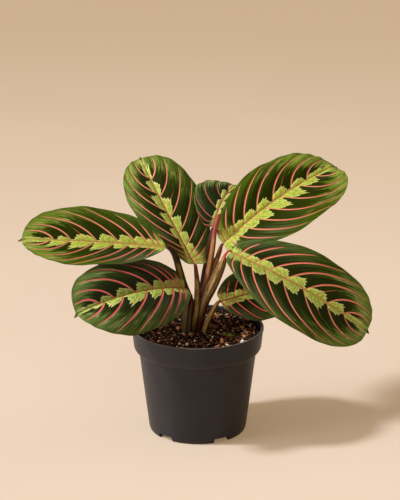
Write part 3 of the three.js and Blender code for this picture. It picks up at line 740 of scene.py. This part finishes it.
# Leaf pattern. A lobe's reach is given from one rib to the next, where it stands alone and where it has run
# together with the others. Each pair is where a change starts and where it is done: the first four count
# ribs, the next three are shares of the length. A vein widens from its start and thins again, in millimetres,
# and the midrib thins from base to tip.
LONE_LOBE = ((0.0, 0.55), (0.19, 0.9), (0.24, 0.8), (0.43, 1.14), (0.49, 0.84), (0.61, 0.92), (0.67, 0.56),
             (0.76, 0.54), (0.82, 0.24), (0.92, 0.2), (1.0, 0.14))
JOINED_LOBE = ((0.0, 0.86), (0.26, 1.0), (0.32, 0.9), (0.56, 1.05), (0.63, 0.88), (0.8, 0.92), (0.86, 0.84),
               (1.0, 0.84))
LOBES_PART = (2.6, 6.2)
LAST_LOBE = (8.0, 8.5)
FIRST_RIB = (0.4, 0.6)
LAST_RIB = (8.4, 8.6)
BASE_STREAKS = (0.02, 0.16)
LIME_END = (0.92, 0.99)
GLOW_END = (0.03, 0.17)
VEIN_GIRTH = (0.44, 0.26)
MIDRIB_GIRTH = (0.92, 0.62)
TWIG_PLACE = 0.46
RELIEF_DEPTH = 0.0012


class Blade(Finish):
    """One side of a leaf, with the wires that its pattern is made from: rib counts the ribs from the base, out
    is the share of the way out along them, s and x are shares of the length and of the half width, step is
    the distance in millimetres to the next rib, and flat is a spot on the leaf laid flat."""

    def __init__(self, name, leaf, side, **constants):
        super().__init__(name + side, **constants)
        self.leaf = leaf
        self.seed = 7.0 * list(LEAVES).index(name) + 3.0
        ribs, shape = self.uv("ribs"), self.uv("shape")
        self.rib = self.part(ribs, 0)
        self.out = self.math("ABSOLUTE", self.part(ribs, 1))
        self.s = self.part(shape, 0)
        self.x = self.math("ABSOLUTE", self.part(shape, 1))
        self.from_midrib = self.x * (leaf["width"] / 2)
        self.step = self.part(self.uv("step"), 0)
        self.flat = self.join(self.s * leaf["length"], self.part(shape, 1) * (leaf["width"] / 2), self.seed)
        self.between = self.math("FRACT", self.rib)
        self.off_rib = self.math("MINIMUM", self.between, 1 - self.between) * self.step


class BladeTop(Blade):
    """Upper side: lime lobes along the midrib, red veins, near-black zones and a light streaked edge. left is
    1 on the side on the left of the leaf's heading and 0 on the other."""

    def __init__(self, name, leaf):
        super().__init__(name, leaf, "_top", Specular_IOR_Level=0.09, Specular_Tint=(1, 0.95, 0.55, 1))
        self.left = self.math("GREATER_THAN", self.part(self.uv("ribs"), 1), 0.0)
        rib, left, out, seed = self.rib, self.left, self.out, self.seed
        self.number = self.math("FLOOR", rib)
        self.slow = self.noise(self.flat, 0.09, 1.0) - 0.5
        self.fine = self.noise(self.flat, 0.5, 2.0) - 0.5
        self.streak = self.noise(self.join(rib * 8.5 + left * 40.0, out * 1.3, seed), 1.1, 4.0, 0.72)
        self.hair = self.noise(self.join(rib * 20.0 + left * 40.0, out * 2.4, seed + 2.0), 1.4, 2.0, 0.6)
        self.chance = self.noise(self.join(self.number + left * 20.0, seed), 3.7, 0.0)
        warmth, redness, lift = leaf["warmth"], leaf["redness"], leaf["lift"]
        self.tints = {key: tone(*pair, warmth) for key, pair in BLADE_TINTS.items()}
        self.tints.update({key: tone(*pair, redness) for key, pair in VEIN_TINTS.items()})
        # lift paints the whole leaf lighter: a painted light, most of all on a leaf lying in another's shade.
        for key in ("dark", "green", "light", "pale", "salmon", "crimson", "orange"):
            self.tints[key] = tuple(lift * c for c in self.tints[key])

    def own(self, key):
        """The value of a pair that belongs to the side that is painted."""
        left, right = self.leaf[key]
        return self.left * (left - right) + right

    def draw_lobes(self):
        """Each lobe begins along the tip side of a rib, rises to a toothed point, and is cut back to the midrib
        before the next rib. The first ones run together in a band, and the base and the tip are streaked."""
        left_reach, right_reach = (self.steps(self.rib, heights) for heights in self.leaf["lobes"])
        self.reach = left_reach * self.left + right_reach * (1 - self.left)
        place = self.between + (self.chance - 0.5) * 0.14 + self.slow * 0.12
        lone, joined = self.curve(place, *LONE_LOBE), self.curve(place, *JOINED_LOBE)
        tip = self.smooth(self.rib, *LAST_LOBE)
        near_base = self.fade(self.s, *BASE_STREAKS)
        wobble = self.noise(self.flat, 0.24, 1.0) - 0.5
        edge = self.reach * (joined + (lone - joined) * self.smooth(self.rib, *LOBES_PART))
        edge = edge + self.reach * (0.7 - lone) * tip + tip * (self.streak - 0.5) * 0.5
        edge = edge + near_base * (self.streak - 0.45) * 0.4 + self.fine * 0.02 + wobble * 0.05
        soft = 0.008 + near_base * 0.04 + tip * 0.02
        self.inside_lobe = edge - self.x
        self.lime = self.smooth(self.inside_lobe, soft * -1.0, soft)
        self.lime = self.lime * self.fade(self.s + (self.streak - 0.5) * 0.12, *LIME_END)

    def draw_veins(self):
        """Each rib is a red vein that thins toward the edge. Some lobes have a thin branch, all have a spur."""
        real = self.smooth(self.rib, *FIRST_RIB) * self.fade(self.rib, *LAST_RIB)
        last = 0.96 - 0.3 * self.fade(self.rib, 0.8, 4.2)
        girth = VEIN_GIRTH[0] + VEIN_GIRTH[1] * self.smooth(self.out, 0.03, 0.22)
        girth = girth * (0.4 + 0.6 * self.fade(self.out, 0.5, last))
        self.girth = girth * (0.7 + 0.3 * self.smooth(self.rib, 1.0, 3.0)) * self.leaf["girth"]
        self.vein = self.fade(self.off_rib, self.girth - 0.14, self.girth + 0.18) * real
        self.vein = self.vein * self.smooth(last - self.out, -0.02, 0.07)
        has_twig = self.math("COMPARE", self.number, self.own("twig"), 0.5)
        off_twig = self.math("ABSOLUTE", self.between - TWIG_PLACE + self.out * 0.12) * self.step
        self.twig = self.fade(off_twig, 0.12, 0.42) * self.fade(self.out, 0.22, 0.46) * has_twig
        self.spur = self.fade(off_twig, 0.1, 0.5) * self.smooth(self.reach * 0.7 - self.x, 0.0, 0.05)
        girth = MIDRIB_GIRTH[0] - MIDRIB_GIRTH[1] * self.s
        self.midrib = self.fade(self.from_midrib, girth - 0.15, girth + 0.25)

    def ground_tint(self):
        """Near black past the lobes, mid green further out, light and streaked toward the tip and the edge,
        with painted highlights in pale glints near the edge, a painted grey sheen and a lime glow near the
        base."""
        streak, hair, out, tints = self.streak, self.hair, self.out, self.tints
        tipward = self.smooth(self.rib, 3.0, 7.6)
        run = out + self.slow * 0.2 + (streak - 0.5) * 0.5
        feather = run + (streak - 0.5) * 0.8 + (hair - 0.5) * 0.9 - 1.0 + self.leaf.get("inward", 0.0)
        bright = self.smooth(feather + tipward * 0.4, -0.07, 0.1) * self.own("light")
        patch = self.noise(self.join(self.rib * 1.2 + self.left * 9.0, out * 2.4, self.seed), 1.6, 1.0)
        # Pale glints in patches near the edge: painted highlights.
        glint = self.smooth(hair + (streak - 0.5) * 0.6, 0.5, 0.58) * self.smooth(patch, 0.46, 0.6)
        glint = glint * self.smooth(out, 0.5, 0.68) * self.fade(out, 0.86, 0.98)
        # The grey near the base is a painted sheen.
        painted_sheen = self.fade(self.s, 0.15, 0.55) * self.smooth(out, 0.15, 0.6) * self.own("painted_sheen")
        glow = self.fade(self.s + self.x * 0.1, *GLOW_END) * self.fade(self.x, 0.2, 0.8) * self.own("glow")
        return self.coats(
            tints["dark"],
            (self.smooth(run, 0.32, 0.95), tints["green"]),
            (self.smooth(streak, 0.5, 0.6) * self.smooth(out, 0.15, 0.5) * 0.5, tints["green"]),
            (self.fade(streak, 0.38, 0.48) * 0.7, tints["dark"]),
            (self.math("MINIMUM", bright * (0.25 + 0.75 * tipward), 1.0), tints["light"]),
            (glint * self.smooth(self.rib, 3.5, 5.5) * (0.3 + 0.4 * self.own("light")), tints["pale"]),
            (self.fade(streak, 0.4, 0.48) * bright * 0.75, tints["green"]),
            (self.fade(hair, 0.38, 0.52) * 0.4, tints["dark"]),
            (painted_sheen * self.smooth(streak, 0.36, 0.6), PAINTED_SHEEN),
            (glow * (0.35 + 0.9 * streak), tints["lime_deep"]),
        )

    def lime_tint(self):
        """Fine cells and hairs, and pale along the rim of a lobe and by the midrib."""
        cells = self.noise(self.flat, 0.45, 2.0, 0.6) + (self.hair - 0.5) * 0.5
        rim = self.fade(self.inside_lobe, 0.0, 0.045)
        tint = self.coats(
            self.tints["lime_deep"],
            (self.smooth(cells, 0.38, 0.62), self.tints["lime_mid"]),
            (self.math("MAXIMUM", rim, self.midrib) * 0.7, self.tints["lime_pale"]),
            (self.smooth(self.hair, 0.5, 0.7) * 0.3, self.tints["lime_pale"]),
        )
        # gain paints the lime of a side lighter: partly its own tone, partly painted light for a side or leaf
        # in shade.
        values = {"Vector": tint, "Scale": self.own("gain")}
        return self.node("ShaderNodeVectorMath", {"operation": "SCALE"}, values)

    def vein_tint(self):
        return self.coats(
            self.tints["orange"],
            (self.smooth(self.out, 0.06, 0.3), self.tints["salmon"]),
            (self.smooth(self.out, 0.72, 0.95), self.tints["orange"]),
            (self.smooth(self.off_rib / self.girth, 0.45, 1.1) * 0.6, self.tints["crimson"]),
        )

    def painted(self):
        self.draw_lobes()
        self.draw_veins()
        s, out, hair, tints = self.s, self.out, self.hair, self.tints
        # A pale spot at the tip's edge on one side: a painted highlight on the curled edge.
        tip_highlight = self.smooth(s, 0.955, 0.98) * self.smooth(self.x + self.fine * 0.3, 0.34, 0.5)
        midrib_tint = self.mix(self.smooth(s, 0.05, 0.4), tints["midrib_base"], tints["midrib"])
        tint = self.coats(
            self.ground_tint(),
            (self.lime, self.lime_tint()),
            (self.spur * (self.chance * 0.6), tints["orange"]),
            (self.twig * 0.8, tints["crimson"]),
            (self.vein, self.vein_tint()),
            (self.midrib * self.fade(s, 0.8, 0.95), midrib_tint),
            (self.smooth(out, 0.982, 0.996) * 0.7, EDGE),
            (tip_highlight * (1 - self.left) * 0.6, TIP_HIGHLIGHT),
            (self.smooth(s, 0.985, 0.997) * 0.8, BROWN_TIP),
        )
        grain = self.noise(self.flat, 3.0, 2.0)
        relief = hair * 0.14 + self.streak * 0.10 - self.vein * 0.18 + grain * 0.05
        gloss = 0.44 + (hair - 0.5) * 0.25 + self.vein * 0.06
        return self.done(Base_Color=tint, Roughness=gloss, Normal=self.bump(relief, RELIEF_DEPTH, 0.7))


class BladeUnderside(Blade):
    """Lower side: dull purple, with the ribs a little paler and greener."""

    def __init__(self, name, leaf):
        super().__init__(name, leaf, "_under", Roughness=0.6, Specular_IOR_Level=0.3, Sheen_Weight=0.15,
                         Sheen_Roughness=0.4, Sheen_Tint=(0.9, 0.75, 0.8, 1))

    def painted(self):
        vein = self.fade(self.off_rib, 0.3, 0.9) * self.fade(self.out, 0.4, 0.95)
        midrib = self.fade(self.from_midrib, 0.5, 1.3)
        streak = self.noise(self.join(self.rib * 14.0, self.out * 3.0, self.seed), 1.3, 2.0, 0.6)
        cloud = self.noise(self.flat, 0.08, 2.0)
        tint = self.coats(
            UNDERSIDE_TINTS["dull"],
            (self.smooth(cloud, 0.35, 0.7), UNDERSIDE_TINTS["cloudy"]),
            (self.smooth(streak, 0.45, 0.75) * 0.4, UNDERSIDE_TINTS["streak"]),
            (vein * 0.6, UNDERSIDE_TINTS["vein"]),
            (midrib * 0.8, UNDERSIDE_TINTS["midrib"]),
        )
        relief = vein * 0.3 + midrib * 0.4 + streak * 0.12
        return self.done(Base_Color=tint, Normal=self.bump(relief, RELIEF_DEPTH, 0.7))


# Stalks.

def smooth_way(points, per_step):
    """A curve through the points, with the radius carried along."""
    points = np.array(points, float)
    gaps = np.sqrt(np.linalg.norm(np.diff(points[:, :3], axis=0), axis=1))
    knots = np.concatenate([[0], np.cumsum(gaps)])
    slopes = np.gradient(points, knots, axis=0)
    made = []
    for i, width in enumerate(np.diff(knots)):
        for u in np.arange(per_step) / per_step:
            made.append((2 * u**3 - 3 * u**2 + 1) * points[i] + (u**3 - 2 * u**2 + u) * width * slopes[i]
                        + (3 * u**2 - 2 * u**3) * points[i + 1] + (u**3 - u**2) * width * slopes[i + 1])
    return np.array(made + [points[-1]])


def even_way(points, count):
    """The smooth curve cut into count equal steps, and its length."""
    fine = smooth_way(points, WAY_STEPS)
    run = np.concatenate([[0], np.cumsum(np.linalg.norm(np.diff(fine[:, :3], axis=0), axis=1))])
    places = np.linspace(0, run[-1], count + 1)
    return np.stack([np.interp(places, run, line) for line in fine.T], -1), run[-1]


def tube_spots(way, section):
    """Rows of points round a way. section gives the radius in millimetres at each angle and share."""
    path, radius = way[:, :3], way[:, 3]
    ahead = np.gradient(path, axis=0)
    ahead /= np.linalg.norm(ahead, axis=1, keepdims=True)
    side = np.cross(np.array([0, -1, 0]), ahead)
    side /= np.linalg.norm(side, axis=1, keepdims=True)
    front = np.cross(ahead, side)
    angle = np.linspace(0, FULL_TURN, STALK_SIDES + 1)
    share = np.linspace(0, 1, len(path))
    reach = section(angle[None, :], share[:, None], radius[:, None])
    ring = side[:, None] * np.cos(angle)[None, :, None] + front[:, None] * np.sin(angle)[None, :, None]
    return path[:, None] + ring * reach[..., None], angle, share


def stalk_points(stalk):
    """The points and radii of a stalk, from its lower end in the mix to its tip or its blade."""
    points = [(*stalk["root"], height, stalk["foot"]) for height in (ROOT_HEIGHT, MIX_LEVEL)] + stalk["way"]
    if "leaf" in stalk:
        leaf = LEAVES[stalk["leaf"]]
        ahead = midrib_direction(leaf, np.array(0.0))
        for back in (LEAD_IN, SEAT):
            points.append((*(np.array(leaf["at"]) - ahead * back), stalk["end"]))
    else:
        points.append((*stalk["tip"], stalk["end"]))
    return points


def make_stalk(name, stalk):
    """A stalk swept along its way, ribbed lengthwise, with its sheath ending in a slanting point."""
    way, length = even_way(stalk_points(stalk), STALK_ROWS)
    seed = list(STALKS).index(name)
    sheath = stalk.get("sheath")

    def section(angle, share, radius):
        ribbed = 1
        for turns, (depth, count) in enumerate(STALK_RIBS, 1):
            ribbed = ribbed + depth * np.sin(count * angle + turns * seed)
        ribbed = ribbed + STALK_OVAL * np.cos(2 * angle + seed) * (1 - share)
        flared = 1 + stalk.get("flare", 0) * np.clip((FLARE_RUN[0] - share) / FLARE_RUN[1], 0, 1)
        ribbed = ribbed * stalk.get("swell", 1) * flared
        if sheath:
            edge = sheath["end"] + sheath["slant"] * (np.cos(angle - math.radians(sheath["turn"])) - 0.4)
            over = 1 / (1 + np.exp((share - edge) * length / SHEATH_EDGE))
            ribbed = ribbed * (1 + over * (sheath["swell"] - 1)) * (1 - (1 - over) * sheath["step"])
        end = np.minimum((1 - share) * length / np.maximum(radius, 0.3), 1)
        return radius * ribbed * np.sqrt(1 - (1 - end) ** 2 * 0.98)

    spots, angle, share = tube_spots(way, section)
    piece, row, column = reshaped_grid(name, spots * MM)
    corner = face_corners(piece)
    write_uv(piece, "stalk", np.stack([angle[column[corner]], share[row[corner]]], -1))
    in_edit_mode(piece, join_seams, close_ends, face_outward)
    smooth_faces(piece, 70)
    settle(piece, name + "_grown", name, stalk.get("slot", "stalk"), stalk_finish(name, stalk, length))


def close_ends():
    """Closes the two ends of a swept grid."""
    bpy.ops.mesh.select_all(action="DESELECT")
    bpy.ops.mesh.select_non_manifold(extend=False, use_wire=False, use_multi_face=False,
                                     use_non_contiguous=False, use_verts=False)
    bpy.ops.mesh.fill_holes(sides=0)


def stalk_finish(name, stalk, length):
    """Tan and olive with dark streaks, darker toward the mix partly as painted shade, and redder at the joint.
    Its ridges are painted lighter as highlights and its flanks darker as shade, the right one most.
    """
    seed = 5.0 * list(STALKS).index(name)
    skin = Finish(name + "_skin", Roughness=0.4, Specular_IOR_Level=0.2)
    place = skin.uv("stalk")
    turn, up = skin.part(place, 0), skin.part(place, 1)
    left, front = skin.math("COSINE", turn), skin.math("SINE", turn)
    grain = skin.join(left * 1.6, front * 1.6, up * length * 0.03 + seed)
    streak = skin.noise(grain, 2.0, 3.0, 0.6)
    thread = skin.noise(grain, 6.5, 2.0, 0.6)
    blotch = skin.noise(skin.join(left, front, up * length * 0.16 + seed), 1.3, 3.0)
    rise = skin.smooth(up, 0.12, stalk.get("low_to", 0.42))
    low, middle, dark = stalk["low"], stalk["middle"], stalk["dark"]
    # A lighter copy of the stalk's colour on its raised threads: a painted highlight.
    ridge = skin.mix(rise, tuple(1.7 * c for c in low), tuple(1.25 * c for c in middle))
    # Both flanks, as seen from the front, are painted darker: a painted shade.
    flank = skin.smooth(skin.math("ABSOLUTE", left + 0.25 + (streak - 0.5) * 0.8), 0.6, 1.05)
    shade = skin.math("MAXIMUM", skin.smooth(streak - left * 0.05, 0.48, 0.6), flank)
    # The right flank, away from the lamps, is painted darker still: a painted shade.
    right = skin.smooth(left * -1.0 + (streak - 0.5) * 0.9, 0.1, 0.75)
    past_joint = up + (blotch - 0.5) * 0.04 - stalk["joint_from"]
    tint = skin.coats(
        low,
        (rise, middle),
        (shade * 0.85, dark),
        (skin.smooth(thread, 0.54, 0.7) * 0.55, ridge),
        (skin.fade(thread, 0.3, 0.46) * 0.5, dark),
        (skin.smooth(blotch, 0.56, 0.72) * 0.4, dark),
        (right * 0.8, stalk.get("right", dark)),
        (skin.smooth(past_joint, -0.03, 0.03) * (1 - 0.35 * shade), stalk["joint"]),
    )
    relief = streak * 0.5 + thread * 0.35
    return skin.done(Base_Color=tint, Normal=skin.bump(relief, 0.0008, 0.9))


# Pot.

def rounded_profile(corners):
    """A path of [radius, height] with each corner given its own rounding."""
    path = [corners[0][:2]]
    for before, (*corner, rounding), after in zip(corners, corners[1:], corners[2:]):
        corner = Vector(corner)
        if rounding == 0:
            path.append(tuple(corner))
            continue
        back, ahead = Vector(before[:2]) - corner, Vector(after[:2]) - corner
        reach = min(rounding, back.length * 0.49, ahead.length * 0.49)
        start, end = corner + back.normalized() * reach, corner + ahead.normalized() * reach
        for k in range(ROUNDING_STEPS + 1):
            u = k / ROUNDING_STEPS
            path.append(tuple(start * (1 - u) ** 2 + corner * 2 * u * (1 - u) + end * u * u))
    return path + [corners[-1][:2]]


def make_pot():
    """The pot spun from its outline, with the drain slots cut out of its foot."""
    profile = rounded_profile(POT_OUTLINE)
    clear_selection()
    bpy.ops.mesh.primitive_circle_add(vertices=len(profile), radius=1)
    pot = bpy.context.object
    for vertex, (radius, height) in zip(pot.data.vertices, profile):
        vertex.co = (radius * MM, 0, height * MM)
    in_edit_mode(
        pot,
        lambda: bpy.ops.mesh.spin(steps=POT_SIDES, angle=FULL_TURN, center=(0, 0, 0), axis=(0, 0, 1)),
        join_seams,
        lambda: bpy.ops.mesh.dissolve_degenerate(threshold=SAME_SPOT / 10),
        lambda: bpy.ops.mesh.delete_loose(use_verts=True, use_edges=True, use_faces=False),
        face_outward,
    )
    for angle in SLOT_ANGLES:
        cut_slot(pot, math.radians(angle))
    smooth_faces(pot, 32)
    settle(pot, "nursery_pot", "pot", "pot", pot_finish())


def cut_slot(pot, turn):
    clear_selection()
    place = (SLOT_RADIUS * MM * math.sin(turn), -SLOT_RADIUS * MM * math.cos(turn), 0)
    bpy.ops.mesh.primitive_cube_add(size=1, rotation=(0, 0, turn), location=place)
    cutter = bpy.context.object
    cutter.scale = [side * MM for side in SLOT_SIZE]
    bpy.ops.object.transform_apply(location=True, rotation=True, scale=True)
    apply_modifier(cutter, "BEVEL", width=SLOT_ROUNDING * MM, segments=3)
    apply_modifier(pot, "BOOLEAN", object=cutter, operation="DIFFERENCE", solver="EXACT")
    bpy.data.objects.remove(cutter)


def pot_finish():
    """Matte charcoal plastic: a faint grain, slow cloudiness, a little pale dust and a painted highlight along
    the lip.
    """
    skin = Finish("charcoal_plastic", Specular_IOR_Level=0.2)
    place = skin.place()
    x, y, height = (skin.part(place, axis) for axis in range(3))
    cloud = skin.noise(place, 22.0, 3.0, 0.55)
    grain = skin.noise(place, 1900.0, 1.0)
    dust = skin.noise(place, 260.0, 4.0, 0.7)
    drawn = skin.noise(skin.join(x * 0.2, y * 0.2, height * 3.0), 300.0, 2.0)
    tint = skin.coats(
        CHARCOAL,
        (skin.smooth(cloud, 0.3, 0.7), CLOUDY_CHARCOAL),
        (skin.smooth(dust, 0.62, 0.8) * 0.3, DUST),
        # A thin band on the lip painted lighter: a painted highlight.
        (skin.smooth(height, *LIP_HIGHLIGHT_BAND) * 0.7, PAINTED_LIP_HIGHLIGHT),
    )
    gloss = 0.4 + cloud * 0.1 + (grain - 0.5) * 0.1
    relief = grain * 0.35 + drawn * 0.25 + cloud * 0.4
    return skin.done(Base_Color=tint, Roughness=gloss, Normal=skin.bump(relief, 0.0004, 0.45))


# Potting mix.

def mix_height(x, y):
    """Height of the mix in millimetres, before its crumbs."""
    swell = SWELL * math.sin(x * 0.11 + 1) * math.cos(y * 0.13)
    lumps = LUMPS * noise.fractal(Vector((x, y, 3)) * LUMP_SCALE, 0.7, 2.2, 4)
    mound = MOUND * math.exp(-((x - CROWN[0]) ** 2 + (y - CROWN[1]) ** 2) / MOUND_SPREAD)
    bank = BANK * max((y - BANK_FROM) / MIX_REACH, 0) ** 1.5
    return MIX_LEVEL + swell + lumps + mound + bank


def make_mix():
    """The body of the mix down to the pot's floor, with an uneven top."""
    spots = np.zeros((len(MIX_SIDE) + MIX_RINGS + 1, MIX_SIDES + 1, 3))
    for column in range(MIX_SIDES + 1):
        turn = FULL_TURN * (column % MIX_SIDES) / MIX_SIDES
        for row, (radius, height) in enumerate(MIX_SIDE):
            spots[row, column] = (radius * math.cos(turn), radius * math.sin(turn), height)
        for ring in range(MIX_RINGS + 1):
            radius = MIX_EDGE * (1 - ring / MIX_RINGS)
            x, y = radius * math.cos(turn), radius * math.sin(turn)
            spots[len(MIX_SIDE) + ring, column] = (x, y, mix_height(x, y))
    mix, _, _ = reshaped_grid("mix", spots * MM)
    in_edit_mode(mix, join_seams, face_outward)
    smooth_faces(mix, 60)
    settle(mix, "mix_body", "potting_mix", "mix", mix_finish())


def mix_finish():
    skin = Finish("dark_mix", Roughness=0.9, Specular_IOR_Level=0.1)
    place = skin.place()
    clod = skin.noise(place, 330.0, 5.0, 0.7)
    speck = skin.noise(place, 900.0, 3.0, 0.6)
    tint = skin.coats(
        MIX_TINTS["dark"],
        (skin.smooth(clod, 0.35, 0.65), MIX_TINTS["brown"]),
        (skin.smooth(speck, 0.63, 0.7) * 0.7, MIX_TINTS["speck"]),
    )
    return skin.done(Base_Color=tint, Normal=skin.bump(clod * 0.7 + speck * 0.3, 0.002, 1.0))


def crumb_forms(look, draw):
    """Lumps of one kind, each its own set of corners and faces."""
    forms = []
    for _ in range(CRUMB_FORMS):
        clear_selection()
        bpy.ops.mesh.primitive_ico_sphere_add(subdivisions=look["facets"], radius=1)
        lump = bpy.context.object
        for vertex in lump.data.vertices:
            vertex.co *= 1 + draw.uniform(-look["rough"], look["rough"])
            vertex.co = Vector(c * k for c, k in zip(vertex.co, look["shape"]))
        corners = np.array([vertex.co[:] for vertex in lump.data.vertices])
        faces = np.array([face.vertices[:] for face in lump.data.polygons])
        forms.append((corners, faces))
        bpy.data.objects.remove(lump)
    return forms


def crumb_spot(look, places, draw):
    """The next given spot with its size, or a drawn one."""
    if places:
        return places.pop()
    smallest, largest = look["sizes"]
    size = smallest + (largest - smallest) * draw.random() ** SMALL_CRUMBS
    reach = (MIX_REACH - RIM_CLEARANCE - size) * math.sqrt(draw.random())
    turn = draw.random() * FULL_TURN
    return reach * math.cos(turn), reach * math.sin(turn), size


def tumbled(lump, spin, lean):
    """A lump leaned over about Y and then turned about Z."""
    x = lump[:, 0] * math.cos(lean) + lump[:, 2] * math.sin(lean)
    y = lump[:, 1]
    z = lump[:, 2] * math.cos(lean) - lump[:, 0] * math.sin(lean)
    return np.stack([x * math.cos(spin) - y * math.sin(spin), x * math.sin(spin) + y * math.cos(spin), z], -1)


def scatter_crumbs(kind, look):
    """Lumps of one kind over the mix, part sunk in it, clear of the stalks and inside the pot."""
    draw = random.Random(kind)
    forms = crumb_forms(look, draw)
    corners, faces, tones, total = [], [], [], 0
    places = list(look.get("places", []))
    while places or len(corners) < look["count"]:
        x, y, size = crumb_spot(look, places, draw)
        if any(math.dist((x, y), s["root"]) < s["foot"] + size * 0.8 for s in STALKS.values()):
            continue
        lump, sides = forms[draw.randrange(len(forms))]
        turned = tumbled(lump, spin=draw.random() * FULL_TURN, lean=draw.uniform(-0.6, 0.6))
        height = mix_height(x, y) + size * draw.uniform(-0.1, 0.45)
        corners.append((turned * size + (x, y, height)) * MM)
        faces.append(sides + total)
        tones.append(np.full(len(sides) * 3, draw.random()))
        total += len(lump)
    clear_selection()
    bpy.ops.mesh.primitive_plane_add(size=MM)
    piece = bpy.context.object
    mesh = piece.data
    mesh.clear_geometry()
    mesh.from_pydata(np.concatenate(corners).tolist(), [], np.concatenate(faces).tolist())
    values = np.concatenate(tones)
    write_uv(piece, "grain", np.stack([values, values * 0], -1))
    piece.name = mesh.name = kind
    mesh.materials.append(crumb_finish(kind, look))
    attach(piece, "root")


def crumb_finish(kind, look):
    """Mostly the darker of two colours, and the lighter one on a few crumbs and in flecks."""
    skin = Finish(kind + "_skin", Roughness=0.85, Specular_IOR_Level=0.12)
    own = skin.part(skin.uv("grain"), 0)
    fibre = skin.noise(skin.place(), 700.0, 4.0, 0.65)
    share = own * own * own * 1.3 + (fibre - 0.47) * 1.4
    share = skin.math("MINIMUM", skin.math("MAXIMUM", share, 0.0), 1.0)
    return skin.done(Base_Color=skin.mix(share, *look["tints"]), Normal=skin.bump(fibre, 0.0012, 0.8))


# Stage, light and camera.

def make_stage():
    clear_selection()
    bpy.ops.mesh.primitive_plane_add(size=FLOOR_SIZE, location=(0, 0, 0))
    floor = bpy.context.object
    floor.name = "floor"
    # The floor's faint glow is a painted light that lifts its shadows.
    glow, strength = FLOOR_GLOW
    skin = Finish("warm_floor", Roughness=0.8, Specular_IOR_Level=0.2, Emission_Color=glow,
                  Emission_Strength=strength)
    place = skin.place()
    # Painted darker away from the lit middle: a painted falloff of light.
    from_middle = skin.join(skin.part(place, 0) - LIT_MIDDLE[0], skin.part(place, 1) - LIT_MIDDLE[1])
    away = skin.node("ShaderNodeVectorMath", {"operation": "LENGTH"}, [from_middle], output="Value")
    cloud = skin.noise(place, 2.5, 3.0)
    plain, cloudy, far = FLOOR_TINTS
    tint = skin.coats(
        plain,
        (skin.smooth(cloud, 0.3, 0.7), cloudy),
        (skin.smooth(away, *LIT_REACH) * 0.95, far),
    )
    floor.data.materials.append(skin.done(Base_Color=tint))


def make_light():
    for name, (place, width, power, colour) in LAMPS.items():
        lamp = bpy.data.lights.new(name, "SUN")
        lamp.angle = math.radians(width)
        lamp.energy = power
        lamp.color = colour
        holder = bpy.data.objects.new(name, lamp)
        bpy.context.scene.collection.objects.link(holder)
        holder.location = place
        holder.rotation_euler = Vector(place).to_track_quat("Z", "Y").to_euler()
    world = bpy.data.worlds.new("studio")
    world.use_nodes = True
    sky = world.node_tree.nodes["Background"]
    sky.inputs["Color"].default_value, sky.inputs["Strength"].default_value = ROOM_LIGHT
    bpy.context.scene.world = world


def make_camera():
    data = bpy.data.cameras.new("camera")
    data.lens = CAMERA_LENS
    data.sensor_width = CAMERA_SENSOR
    camera = bpy.data.objects.new("camera", data)
    bpy.context.scene.collection.objects.link(camera)
    camera.location = CAMERA_PLACE
    camera.rotation_euler = (math.radians(90 - CAMERA_PITCH), 0, 0)
    bpy.context.scene.camera = camera


make_camera()
make_stage()
make_light()
bpy.context.scene.view_settings.view_transform = "Standard"

make_pot()
make_mix()
for kind, look in CRUMBS.items():
    scatter_crumbs(kind, look)
for name, stalk in STALKS.items():
    make_stalk(name, stalk)
for name, leaf in LEAVES.items():
    make_leaf(name, leaf)
